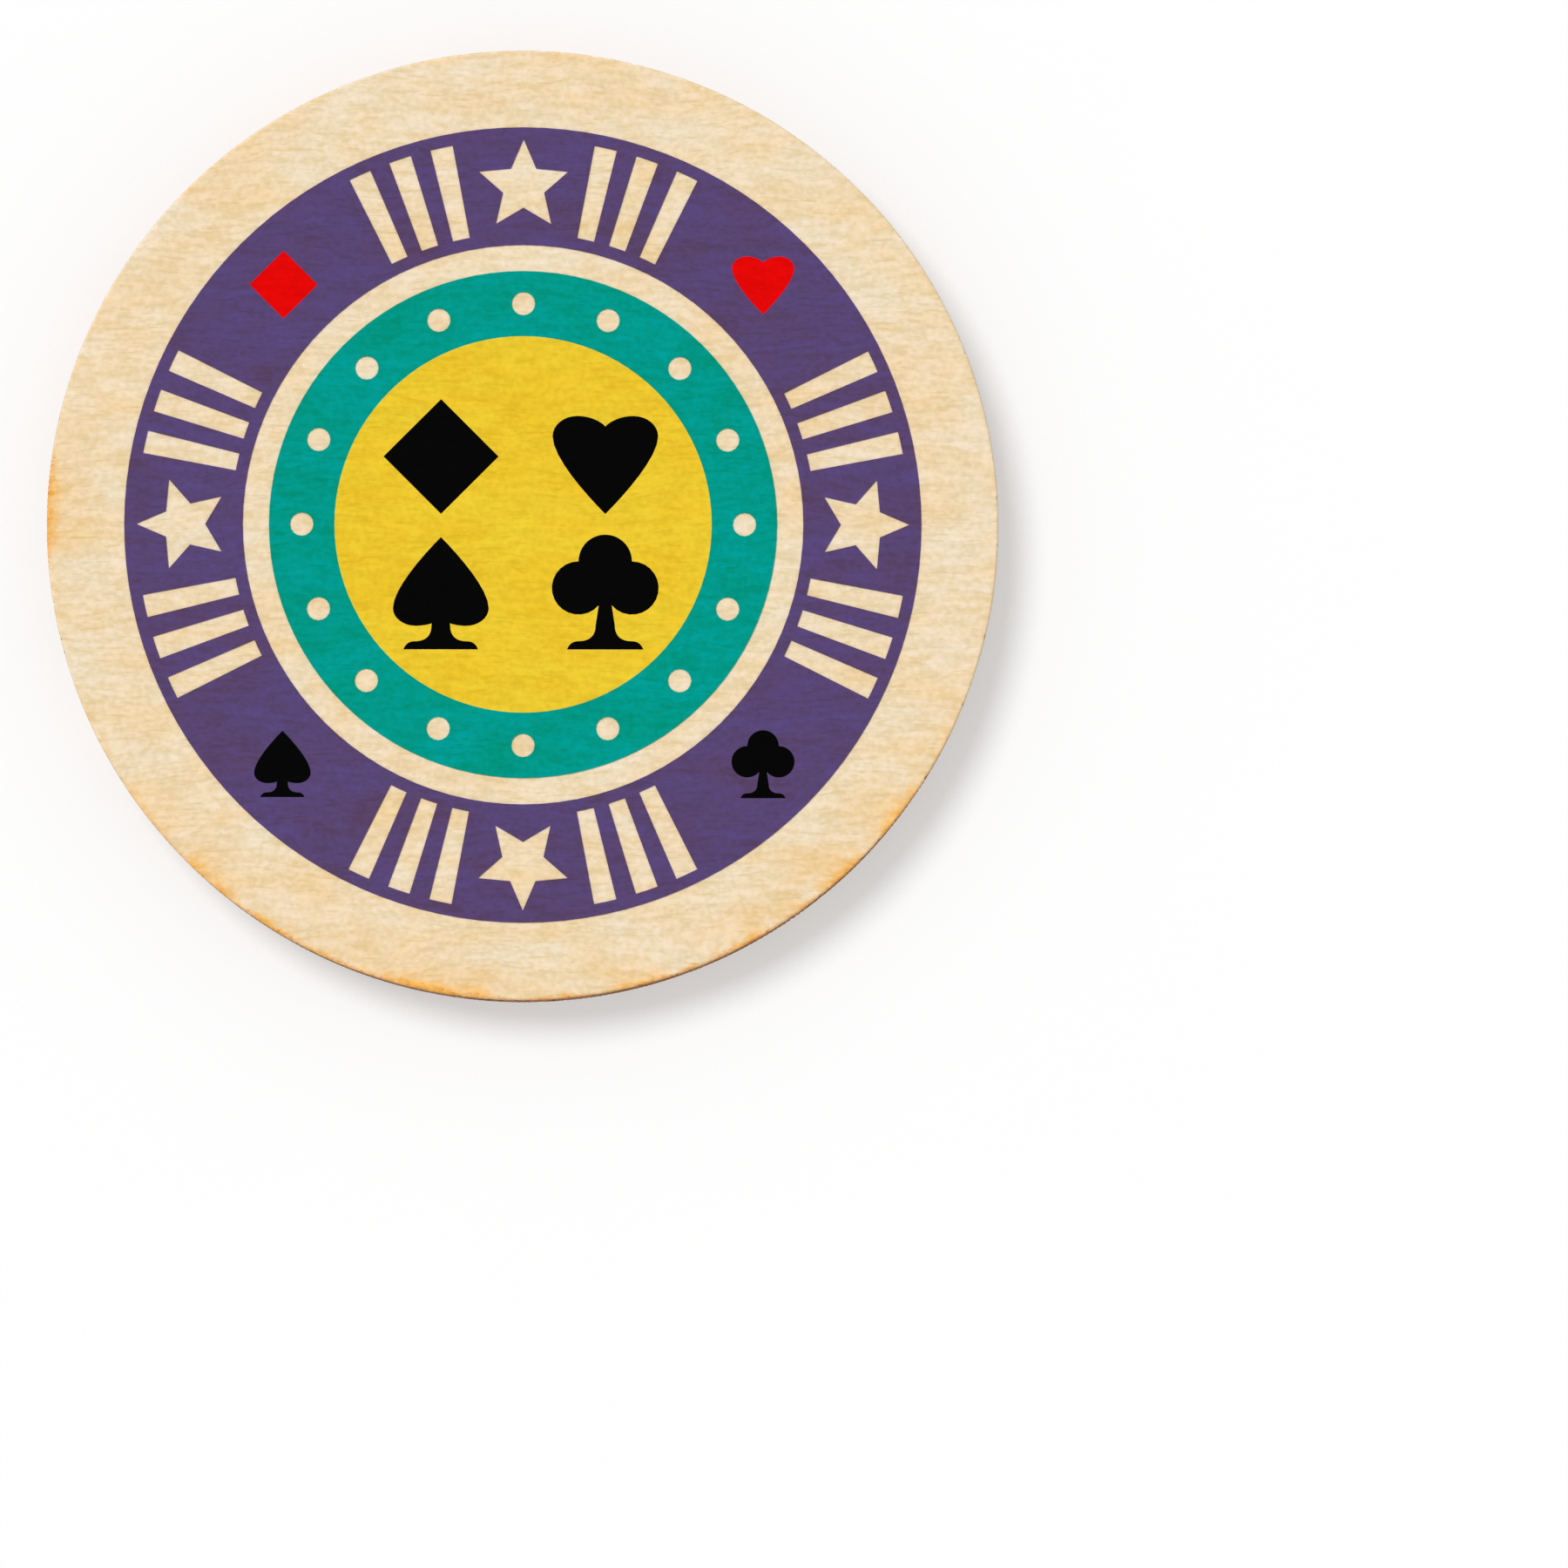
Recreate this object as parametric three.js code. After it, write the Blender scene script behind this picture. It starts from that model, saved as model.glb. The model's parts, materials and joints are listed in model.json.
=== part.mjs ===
// Wooden poker chip: a laser-cut round of three-ply birch board, printed on both faces with rings, card
// suits, stars and edge spots. Each patch of ink is a thin film on the wood, and a figure that fills a
// knock-out in another film shares that knock-out's outline.
// Millimetres. +Z points out of the front face and +Y is the print's upward direction. The origin is the
// middle of the underside, in the plane on which the chip rests.

import * as THREE from 'three';

const { degToRad } = THREE.MathUtils;

// Board
const CHIP_DIAMETER = 40;
const FACE_VENEER = 0.95;
const CORE_VENEER = 1.2;
const GLUE_LINE = 0.05;
// The beam leaves the front edge this much smaller in radius than the back edge
const KERF_TAPER = 0.06;
// The burnt glue stands back this far from the cut wood
const GLUE_RECESS = 0.03;
const EASED_EDGE = 0.12;

// Ink
const INK_FILM = 0.05;

// Front print, from the rim inwards
const RIM_MARGIN = 3.31;
const BAND_WIDTH = 4.95;
const BARE_RING = 1.1;
const TEAL_RING = 2.74;
const RING_DOT_RADIUS = 0.49;
const RING_DOT_COUNT = 16;

// Suits on the front
const BAND_SUIT_CLEAR = 1.05;
const CENTRE_SUIT_CLEAR = 0.62;
const CENTRE_COLUMN_GAP = 2.06;
const CENTRE_ROW_GAP = 0.86;

// Edge spots in the band: a star with bars on both sides, between each two suits. Angles are in degrees.
const SPOT_CLEAR = 0.5;
const BAR_ANGLE = 3.4;
const BAR_GAP_ANGLE = 3;
const BARS_PER_SIDE = 3;

// Back print
const ARC_MARGIN = 8.73;
const ARC_WIDTH = 2.89;
const ARC_END_ANGLE = 45;
const ARC_DOT_RADIUS = 0.5;
const ARC_DOT_COUNT = 4;
const ARC_DOT_STEP = 22;
const STARS_PER_ROW = 5;
const STAR_GAP = 0.95;
const STAR_TO_ARC = 0.8;
const STAR_TO_DOTS = 1.3;
const BACK_SUIT_HEIGHT = 2.6;
const BACK_SUIT_GAP = 1.3;
const LINE_DOT_RADIUS = 0.31;
const LINE_DOT_PITCH = 2.5;
const LINE_DOT_COUNT = 9;

// Five-pointed stars: the waist is the inner radius as a share of the outer one
const STAR_POINTS = 5;
const STAR_WAIST = 0.46;

// Fineness of the facets
const RIM_SEGMENTS = 120;
const RING_SEGMENTS = 96;
const DOT_SEGMENTS = 16;
const CURVE_STEPS = 8;
const EDGE_STEPS = 1;
const ARC_STEPS = 14;

// Heights of the layers, from the underside up
const BACK_FACE = INK_FILM;
const BACK_GLUE_LOW = BACK_FACE + FACE_VENEER;
const CORE_LOW = BACK_GLUE_LOW + GLUE_LINE;
const FRONT_GLUE_LOW = CORE_LOW + CORE_VENEER;
const FRONT_VENEER_LOW = FRONT_GLUE_LOW + GLUE_LINE;
const FRONT_FACE = FRONT_VENEER_LOW + FACE_VENEER;

// Radii of the front print
const RIM_RADIUS = CHIP_DIAMETER / 2;
const BAND_OUTER = RIM_RADIUS - RIM_MARGIN;
const BAND_INNER = BAND_OUTER - BAND_WIDTH;
const BAND_MIDDLE = (BAND_OUTER + BAND_INNER) / 2;
const TEAL_OUTER = BAND_INNER - BARE_RING;
const CENTRE_RADIUS = TEAL_OUTER - TEAL_RING;

// Layout of the back print: the arcs, and the rows of stars between them, measured from the middle
const ARC_OUTER = RIM_RADIUS - ARC_MARGIN;
const ARC_INNER = ARC_OUTER - ARC_WIDTH;
const ARC_CUT = ARC_INNER * Math.sin(degToRad(ARC_END_ANGLE));
const ROW_LOW = LINE_DOT_RADIUS + STAR_TO_DOTS;
const ROW_HIGH = ARC_CUT - STAR_TO_ARC;
const BACK_STAR_RADIUS = (ROW_HIGH - ROW_LOW) / (1 + Math.cos(Math.PI / STAR_POINTS));
const BACK_STAR_WIDTH = 2 * BACK_STAR_RADIUS * Math.sin((2 * Math.PI) / STAR_POINTS);

// Finishes
const BIRCH = { color: 0xefd8b0, roughness: 0.65, metalness: 0 };
const CORE_BIRCH = { color: 0xa9743f, roughness: 0.75, metalness: 0 };
const GLUE = { color: 0x3a2415, roughness: 0.6, metalness: 0 };
const PURPLE = { color: 0x5a4875, roughness: 0.5, metalness: 0 };
const TEAL = { color: 0x00998a, roughness: 0.5, metalness: 0 };
const YELLOW = { color: 0xebc92e, roughness: 0.5, metalness: 0 };
const RED = { color: 0xe50505, roughness: 0.5, metalness: 0 };
const BLACK = { color: 0x060606, roughness: 0.5, metalness: 0 };

// Outlines are lists of points in the plane of a face

function circle(radius, segments, x = 0, y = 0) {
  return Array.from({ length: segments }, (_, i) => {
    const angle = (2 * Math.PI * i) / segments;
    return new THREE.Vector2(x + radius * Math.cos(angle), y + radius * Math.sin(angle));
  });
}

function placed(outline, x, y, size = 1, turn = 0) {
  const origin = new THREE.Vector2();
  const shift = new THREE.Vector2(x, y);
  return outline.map((p) => p.clone().multiplyScalar(size).rotateAround(origin, turn).add(shift));
}

// Turned over, with the points still listed counter-clockwise
function seenFromBehind(outline) {
  return outline.map((p) => new THREE.Vector2(-p.x, p.y)).reverse();
}

// A figure that is alike on both sides of its upright middle line, from its right half
function mirrored(rightHalf) {
  const offMiddle = rightHalf.filter((p) => p.x > 0);
  const leftHalf = offMiddle.map((p) => new THREE.Vector2(-p.x, p.y)).reverse();
  const starts = rightHalf[0].x > 0 ? [] : [rightHalf[0]];
  const ends = rightHalf.at(-1).x > 0 ? [] : [rightHalf.at(-1)];
  return [...starts, ...offMiddle, ...ends, ...leftHalf];
}

// Suits, drawn one unit high and standing on zero

// Handle of a curve that follows a quarter of an ellipse
const QUARTER_HANDLE = 0.5523;

// The side of a heart or spade, from its widest point to its square tip
function sideToTip(path, widest, widestY, tipY) {
  const rise = tipY - widestY;
  const sideHandle = 0.268 * rise;
  const tipHandle = 0.252 * rise;
  path.bezierCurveTo(widest, widestY + sideHandle, Math.abs(tipHandle), tipY - tipHandle, 0, tipY);
}

// The stem of a spade or club, from the corner of its foot up to the top of the flare
function flaredFoot(path) {
  const footHalf = 0.332;
  const shoulder = 0.234;
  const shoulderY = 0.0725;
  const stemHalf = 0.083;
  const flareTop = 0.215;
  path.moveTo(footHalf, 0);
  path.quadraticCurveTo(0.92 * footHalf, shoulderY, shoulder, shoulderY);
  path.quadraticCurveTo(stemHalf, shoulderY, stemHalf, flareTop);
}

function diamondOutline() {
  return circle(0.5, 4, 0, 0.5);
}

function heartOutline() {
  const notchY = 0.894;
  const lobe = 0.285;
  const widest = 0.537;
  const widestY = 0.793;
  const path = new THREE.Path();
  path.moveTo(0, notchY);
  path.bezierCurveTo(0.2 * lobe, 0.956, 0.6 * lobe, 1, lobe, 1);
  const across = lobe + QUARTER_HANDLE * (widest - lobe);
  const above = widestY + QUARTER_HANDLE * (1 - widestY);
  path.bezierCurveTo(across, 1, widest, above, widest, widestY);
  sideToTip(path, widest, widestY, 0);
  return mirrored(path.getPoints(CURVE_STEPS));
}

function spadeOutline() {
  const neck = 0.081;
  const neckY = 0.231;
  const lobe = 0.223;
  const lobeY = 0.209;
  const widest = 0.426;
  const widestY = 0.367;
  const path = new THREE.Path();
  flaredFoot(path);
  path.lineTo(neck, neckY);
  path.quadraticCurveTo((neck + lobe) / 2, lobeY, lobe, lobeY);
  const across = lobe + QUARTER_HANDLE * (widest - lobe);
  const below = widestY + QUARTER_HANDLE * (lobeY - widestY);
  path.bezierCurveTo(across, lobeY, widest, below, widest, widestY);
  sideToTip(path, widest, widestY, 1);
  return mirrored(path.getPoints(CURVE_STEPS));
}

// Three equal lobes: the side lobes' tops touch the sides of the top lobe
function clubOutline() {
  const lobe = 0.2322;
  const neck = 0.057;
  const neckAngle = -Math.acos((neck - lobe) / lobe);
  const path = new THREE.Path();
  flaredFoot(path);
  path.absarc(lobe, 1 - 2 * lobe, lobe, neckAngle, Math.PI / 2, false);
  path.absarc(0, 1 - lobe, lobe, 0, Math.PI / 2, false);
  return mirrored(path.getPoints(CURVE_STEPS));
}

function starOutline() {
  return Array.from({ length: 2 * STAR_POINTS }, (_, i) => {
    const angle = Math.PI / 2 + (Math.PI * i) / STAR_POINTS;
    const radius = i % 2 === 0 ? 1 : STAR_WAIST;
    return new THREE.Vector2(radius * Math.cos(angle), radius * Math.sin(angle));
  });
}

// A bar with radial sides, centred on an angle
function barOutline(angle) {
  const half = degToRad(BAR_ANGLE) / 2;
  const path = new THREE.Path();
  path.absarc(0, 0, BAND_OUTER - SPOT_CLEAR, angle - half, angle + half, false);
  path.absarc(0, 0, BAND_INNER + SPOT_CLEAR, angle + half, angle - half, true);
  return path.getPoints(1);
}

// A stretch of ring over the top of the face, with its ends cut level
function arcOutline(inner, outer, cut) {
  const innerEnd = Math.asin(cut / inner);
  const outerEnd = Math.asin(cut / outer);
  const path = new THREE.Path();
  path.absarc(0, 0, outer, outerEnd, Math.PI - outerEnd, false);
  path.absarc(0, 0, inner, Math.PI - innerEnd, innerEnd, true);
  return path.getPoints(ARC_STEPS);
}

// The suits' own heights as shares of the height of their row, and their ink outside the yellow centre
const SUITS = [
  { name: 'diamond', outline: diamondOutline(), height: 1, ink: RED, column: -1, row: 1 },
  { name: 'heart', outline: heartOutline(), height: 0.855, ink: RED, column: 1, row: 1 },
  { name: 'spade', outline: spadeOutline(), height: 0.977, ink: BLACK, column: -1, row: -1 },
  { name: 'club', outline: clubOutline(), height: 1, ink: BLACK, column: 1, row: -1 },
];
const STAR = starOutline();

// Solids

function named(name, geometry, finish) {
  const mesh = new THREE.Mesh(geometry, new THREE.MeshStandardMaterial(finish));
  mesh.name = name;
  return mesh;
}

// A disc turned from the profile of its edge, listed from the lower face up
function disc(name, edge, finish) {
  const onAxis = (p) => new THREE.Vector2(0, p.y);
  const profile = [onAxis(edge[0]), ...edge, onAxis(edge.at(-1))];
  const geometry = new THREE.LatheGeometry(profile, RIM_SEGMENTS);
  geometry.rotateX(Math.PI / 2);
  return named(name, geometry, finish);
}

function film(name, outline, knockOuts, finish) {
  const shape = new THREE.Shape(outline);
  shape.holes = knockOuts.map((points) => new THREE.Path(points));
  const geometry = new THREE.ExtrudeGeometry(shape, { depth: INK_FILM, bevelEnabled: false });
  return named(name, geometry, finish);
}

// Radius of the cut at a height: it tapers between the two eased edges
function cutRadius(z) {
  const low = BACK_FACE + EASED_EDGE;
  const high = FRONT_FACE - EASED_EDGE;
  return RIM_RADIUS - (KERF_TAPER * (z - low)) / (high - low);
}

function layerEdge(low, high, recess) {
  return [low, high].map((z) => new THREE.Vector2(cutRadius(z) - recess, z));
}

function frontVeneer() {
  const edgeLow = FRONT_FACE - EASED_EDGE;
  const edge = new THREE.Path();
  edge.moveTo(cutRadius(FRONT_VENEER_LOW), FRONT_VENEER_LOW);
  edge.lineTo(cutRadius(edgeLow), edgeLow);
  edge.absarc(cutRadius(edgeLow) - EASED_EDGE, edgeLow, EASED_EDGE, 0, Math.PI / 2, false);
  return disc('front_veneer', edge.getPoints(EDGE_STEPS), BIRCH);
}

function backVeneer() {
  const edgeHigh = BACK_FACE + EASED_EDGE;
  const edge = new THREE.Path();
  edge.absarc(cutRadius(edgeHigh) - EASED_EDGE, edgeHigh, EASED_EDGE, -Math.PI / 2, 0, false);
  edge.lineTo(cutRadius(BACK_GLUE_LOW), BACK_GLUE_LOW);
  return disc('back_veneer', edge.getPoints(EDGE_STEPS), BIRCH);
}

function makeBoard() {
  const board = new THREE.Group();
  board.add(backVeneer());
  board.add(disc('back_glue_line', layerEdge(BACK_GLUE_LOW, CORE_LOW, GLUE_RECESS), GLUE));
  board.add(disc('core_veneer', layerEdge(CORE_LOW, FRONT_GLUE_LOW, 0), CORE_BIRCH));
  board.add(disc('front_glue_line', layerEdge(FRONT_GLUE_LOW, FRONT_VENEER_LOW, GLUE_RECESS), GLUE));
  board.add(frontVeneer());
  return board;
}

// Row height of the four centre suits: the largest whose block, two by two, keeps its clearance to the
// border of the yellow centre. A suit's cell is square, and the block's far corner is the foot of the
// club, the first point of its outline.
function centreSuitHeight() {
  const reach = CENTRE_RADIUS - CENTRE_SUIT_CLEAR;
  const footHalf = clubOutline()[0].x;
  const across = (1 + 2 * footHalf) / 2;
  const columnHalfGap = CENTRE_COLUMN_GAP / 2;
  const rowHalfGap = CENTRE_ROW_GAP / 2;
  const a = across ** 2 + 1;
  const b = across * columnHalfGap + rowHalfGap;
  const c = columnHalfGap ** 2 + rowHalfGap ** 2 - reach ** 2;
  return (Math.sqrt(b ** 2 - a * c) - b) / a;
}

// The suits of a row stand on one line
function centreSuits() {
  const rowHeight = centreSuitHeight();
  const column = (rowHeight + CENTRE_COLUMN_GAP) / 2;
  return SUITS.map((suit) => {
    const foot = (suit.row * (rowHeight + CENTRE_ROW_GAP) - rowHeight) / 2;
    return placed(suit.outline, suit.column * column, foot, suit.height * rowHeight);
  });
}

function bandSuits() {
  const rowHeight = BAND_WIDTH - 2 * BAND_SUIT_CLEAR;
  const diagonal = BAND_MIDDLE * Math.SQRT1_2;
  return SUITS.map((suit) => {
    const height = suit.height * rowHeight;
    return placed(suit.outline, suit.column * diagonal, suit.row * diagonal - height / 2, height);
  });
}

function edgeSpots() {
  const starRadius = BAND_WIDTH / 2 - SPOT_CLEAR;
  const starHalf = starRadius * Math.sin((2 * Math.PI) / STAR_POINTS);
  const spots = [];
  SUITS.forEach((_, i) => {
    const angle = (2 * Math.PI * i) / SUITS.length;
    const x = BAND_MIDDLE * Math.cos(angle);
    const y = BAND_MIDDLE * Math.sin(angle);
    spots.push(placed(STAR, x, y, starRadius, angle - Math.PI / 2));
    for (let bar = 1; bar <= BARS_PER_SIDE; bar += 1) {
      const fromStar = bar * (BAR_ANGLE + BAR_GAP_ANGLE) - BAR_ANGLE / 2;
      const turn = Math.asin(starHalf / BAND_MIDDLE) + degToRad(fromStar);
      spots.push(barOutline(angle + turn));
      spots.push(barOutline(angle - turn));
    }
  });
  return spots;
}

function ringDots() {
  const middle = (TEAL_OUTER + CENTRE_RADIUS) / 2;
  return Array.from({ length: RING_DOT_COUNT }, (_, i) => {
    const angle = Math.PI / 2 + (2 * Math.PI * i) / RING_DOT_COUNT;
    return circle(RING_DOT_RADIUS, DOT_SEGMENTS, middle * Math.cos(angle), middle * Math.sin(angle));
  });
}

function makeFrontPrint() {
  const inBand = bandSuits();
  const inCentre = centreSuits();
  const centre = circle(CENTRE_RADIUS, RING_SEGMENTS);
  const bandHoles = [circle(BAND_INNER, RING_SEGMENTS), ...inBand, ...edgeSpots()];
  const print = new THREE.Group();
  print.position.z = FRONT_FACE;
  print.add(film('front_purple_band', circle(BAND_OUTER, RIM_SEGMENTS), bandHoles, PURPLE));
  print.add(film('front_teal_ring', circle(TEAL_OUTER, RING_SEGMENTS), [centre, ...ringDots()], TEAL));
  print.add(film('front_yellow_centre', centre, inCentre, YELLOW));
  SUITS.forEach((suit, i) => {
    print.add(film(`front_band_${suit.name}`, inBand[i], [], suit.ink));
    print.add(film(`front_centre_${suit.name}`, inCentre[i], [], BLACK));
  });
  return print;
}

// The back print is laid out as it is seen from behind

function backFilm(name, outline, knockOuts, finish) {
  return film(name, seenFromBehind(outline), knockOuts.map(seenFromBehind), finish);
}

function backArcs() {
  const arc = arcOutline(ARC_INNER, ARC_OUTER, ARC_CUT);
  const middle = (ARC_OUTER + ARC_INNER) / 2;
  const dots = Array.from({ length: ARC_DOT_COUNT }, (_, i) => {
    const fromTop = degToRad((i - (ARC_DOT_COUNT - 1) / 2) * ARC_DOT_STEP);
    return circle(ARC_DOT_RADIUS, DOT_SEGMENTS, middle * Math.sin(fromTop), middle * Math.cos(fromTop));
  });
  const halfTurn = (outline) => placed(outline, 0, 0, 1, Math.PI);
  return [
    backFilm('back_upper_arc', arc, dots, TEAL),
    backFilm('back_lower_arc', halfTurn(arc), dots.map(halfTurn), TEAL),
  ];
}

// Each row of upright stars fills the height between the line of dots and the level end of its arc
function backStars() {
  const upperY = ROW_HIGH - BACK_STAR_RADIUS;
  const lowerY = -ROW_LOW - BACK_STAR_RADIUS;
  const stars = [];
  for (let i = 0; i < STARS_PER_ROW; i += 1) {
    const x = (i - (STARS_PER_ROW - 1) / 2) * (BACK_STAR_WIDTH + STAR_GAP);
    const upper = placed(STAR, x, upperY, BACK_STAR_RADIUS);
    const lower = placed(STAR, x, lowerY, BACK_STAR_RADIUS);
    stars.push(backFilm(`back_upper_star_${i + 1}`, upper, [], PURPLE));
    stars.push(backFilm(`back_lower_star_${i + 1}`, lower, [], PURPLE));
  }
  return stars;
}

// A suit stands at each end of the two rows of stars
function backSuits() {
  const rowHalf = (STARS_PER_ROW * BACK_STAR_WIDTH + (STARS_PER_ROW - 1) * STAR_GAP) / 2;
  const x = rowHalf + BACK_SUIT_GAP + BACK_SUIT_HEIGHT / 2;
  const y = (ROW_LOW + ROW_HIGH) / 2;
  return SUITS.map((suit) => {
    const height = suit.height * BACK_SUIT_HEIGHT;
    const outline = placed(suit.outline, suit.column * x, suit.row * y - height / 2, height);
    return backFilm(`back_${suit.name}`, outline, [], suit.ink);
  });
}

function backDots() {
  return Array.from({ length: LINE_DOT_COUNT }, (_, i) => {
    const x = (i - (LINE_DOT_COUNT - 1) / 2) * LINE_DOT_PITCH;
    return backFilm(`back_dot_${i + 1}`, circle(LINE_DOT_RADIUS, DOT_SEGMENTS, x, 0), [], TEAL);
  });
}

function makeBackPrint() {
  const print = new THREE.Group();
  print.add(...backArcs(), ...backStars(), ...backSuits(), ...backDots());
  return print;
}

const chip = new THREE.Group();
chip.add(makeBoard());
chip.add(makeFrontPrint());
chip.add(makeBackPrint());

export default chip;
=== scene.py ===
import json
import math

import bpy
import numpy as np
from mathutils import Matrix, Vector


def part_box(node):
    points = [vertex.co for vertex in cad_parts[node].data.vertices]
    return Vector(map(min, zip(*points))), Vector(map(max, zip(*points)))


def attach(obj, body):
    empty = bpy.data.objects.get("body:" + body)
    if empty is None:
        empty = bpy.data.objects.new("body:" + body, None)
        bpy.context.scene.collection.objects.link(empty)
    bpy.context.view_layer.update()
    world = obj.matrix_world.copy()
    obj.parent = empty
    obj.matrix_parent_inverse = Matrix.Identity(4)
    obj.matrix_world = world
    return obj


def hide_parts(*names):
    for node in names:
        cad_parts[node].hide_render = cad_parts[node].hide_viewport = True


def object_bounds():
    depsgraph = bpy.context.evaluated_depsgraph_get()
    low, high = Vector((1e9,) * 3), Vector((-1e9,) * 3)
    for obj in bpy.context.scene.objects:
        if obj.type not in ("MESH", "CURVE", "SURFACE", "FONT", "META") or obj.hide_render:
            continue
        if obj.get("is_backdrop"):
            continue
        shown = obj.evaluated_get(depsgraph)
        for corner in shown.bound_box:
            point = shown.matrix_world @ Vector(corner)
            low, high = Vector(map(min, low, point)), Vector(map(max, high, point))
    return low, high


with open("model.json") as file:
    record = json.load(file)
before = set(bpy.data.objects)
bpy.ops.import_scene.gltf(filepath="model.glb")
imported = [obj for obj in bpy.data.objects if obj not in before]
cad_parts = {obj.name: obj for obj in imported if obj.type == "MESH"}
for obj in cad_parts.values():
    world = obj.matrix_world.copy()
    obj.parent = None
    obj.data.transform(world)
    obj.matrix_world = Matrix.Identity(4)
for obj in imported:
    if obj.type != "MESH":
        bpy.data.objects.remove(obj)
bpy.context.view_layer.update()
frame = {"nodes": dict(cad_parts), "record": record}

bl_info = {
    "name": "Wooden Poker Chip",
    "version": (1, 0, 0),
    "blender": (4, 5, 0),
    "location": "View3D > Sidebar > Poker Chip",
    "description": "Builds a printed plywood poker chip with a laser-cut rim, on a pale floor",
    "category": "Object",
}

MM = 0.001
SLOT_OF_NODE = {row["node"]: row["material_slot"] for row in frame["record"]["subparts"]}

# Heights and radii that the board's layers have in the frame
FACE_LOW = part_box("back_veneer")[0].z
FACE_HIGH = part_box("front_veneer")[1].z
RIM_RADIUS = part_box("back_veneer")[1].x
FRONT_PLY_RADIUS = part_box("front_veneer")[1].x
FRONT_PLY_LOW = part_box("front_veneer")[0].z

# Directions of the grain and the height of a place
ALONG_FACES = (1, 0, 0)
ALONG_CORE = (0, 1, 0)
UP = (0, 0, 1)

# Cells of noise in a millimetre along X, Y and Z
BEND_CELLS = (0.12, 0.3, 0.2)
STREAK_CELLS = (0.8, 3.8, 0.4)
FIBRE_CELLS = (4.0, 5.0, 0.4)
PATCH_CELLS = (0.3, 0.7, 0.4)
PORE_CELLS = (1.1, 7.0, 0.4)
FLECK_CELLS = (0.24, 0.5, 0.4)
BLOTCH_CELLS = (0.45, 0.45, 0.4)
RAGGED_CELLS = (1.3, 4.5, 0.4)
GRIT_CELLS = (4.5, 7.0, 0.4)
STRIPE_CELLS = (3.6, 3.6, 0.5)
BROWN_CELLS = (0.5, 0.5, 0.7)
PIT_CELLS = (9.0, 9.0, 9.0)
BEAD_CELLS = (2.6, 2.6, 6.0)
MOTTLE_CELLS = (0.05, 0.05, 0.05)

# Angles from X, in degrees, of the middles of the scorched stretches of the rim
SCORCHED_FOOT = -88
SCORCHED_SPOT = 178
# Depths below a face, in millimetres, where its lip starts to brown and where it is brown
LIP_DEPTHS = (0.05, 0.12)
# How far ragged wood shifts the lip, and how much nearer to the back face it lies, in millimetres
LIP_RAGGED, BACK_LIP_RISE = 0.04, 0.06

# Points round the rim, rings up a layer's wall and rings round an eased edge
AROUND = 2000
WALL_RINGS = 14
EDGE_RINGS = 6
# Distances from the edge of a face to its rings of points, from the middle outwards
FACE_INSETS = np.array([16.0, 12.0, 7.0, 3.0, 1.0, 0.3, 0.1]) * MM
# Bands of surface from a face's middle to its edge
FACE_BANDS = len(FACE_INSETS) + 1
# Bands of a layer with sharp edges, and of one with an eased lower edge, as paint_rings takes them
SHARP_BANDS = ((FACE_BANDS, 0, False), (WALL_RINGS + 1, 0, True), (FACE_BANDS, 0, False))
EASED_BANDS = ((FACE_BANDS, 0, False), (EDGE_RINGS, 0, True), (WALL_RINGS, 1, True), (FACE_BANDS, 1, False))

# Ripples that burn the rim: range of turns, spread of the lean in radians per millimetre, random seed
STRIPE_RIPPLES = ((420, 640), 0.5, 11)
STRETCH_RIPPLES = ((3, 24), 0.2, 12)
PIT_RIPPLES = ((60, 260), 3.0, 13)

# Share of the rim's radius within which light from below passes the floor
FLOOR_OPENING = 0.993
# Nearest and furthest distances that the camera sees, in metres
NEAR_LIMIT, FAR_LIMIT = 0.01, 10.0


def linear(red, green, blue):
    """A display colour, from 0 to 255, as the linear colour that Blender's sockets take."""
    shares = np.array([red, green, blue]) / 255
    values = np.where(shares > 0.04045, ((shares + 0.055) / 1.055) ** 2.4, shares / 12.92)
    return tuple(float(v) for v in values)


def opaque(rgb):
    return (*rgb, 1.0)


def tint_of(rgb, base):
    """The tint that turns the base colour into this colour when the two are multiplied."""
    return opaque(c / b for c, b in zip(rgb, base))


def toward_angle(degrees):
    """The direction in the plane of the faces at this angle from X."""
    return math.cos(math.radians(degrees)), math.sin(math.radians(degrees)), 0.0


# Settings


def length(name, description, millimetres):
    return bpy.props.FloatProperty(
        name=name,
        description=description,
        default=millimetres * MM,
        min=0.0,
        precision=5,
        subtype="DISTANCE",
        unit="LENGTH",
    )


def angle(name, description, degrees):
    return bpy.props.FloatProperty(
        name=name, description=description, default=math.radians(degrees), subtype="ANGLE", unit="ROTATION"
    )


def share(name, description, value):
    return bpy.props.FloatProperty(
        name=name, description=description, default=value, min=0.0, max=1.0, subtype="FACTOR"
    )


def colour(name, description, red, green, blue):
    return bpy.props.FloatVectorProperty(
        name=name,
        description=description,
        default=linear(red, green, blue),
        min=0.0,
        max=1.0,
        size=3,
        subtype="COLOR",
    )


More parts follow.
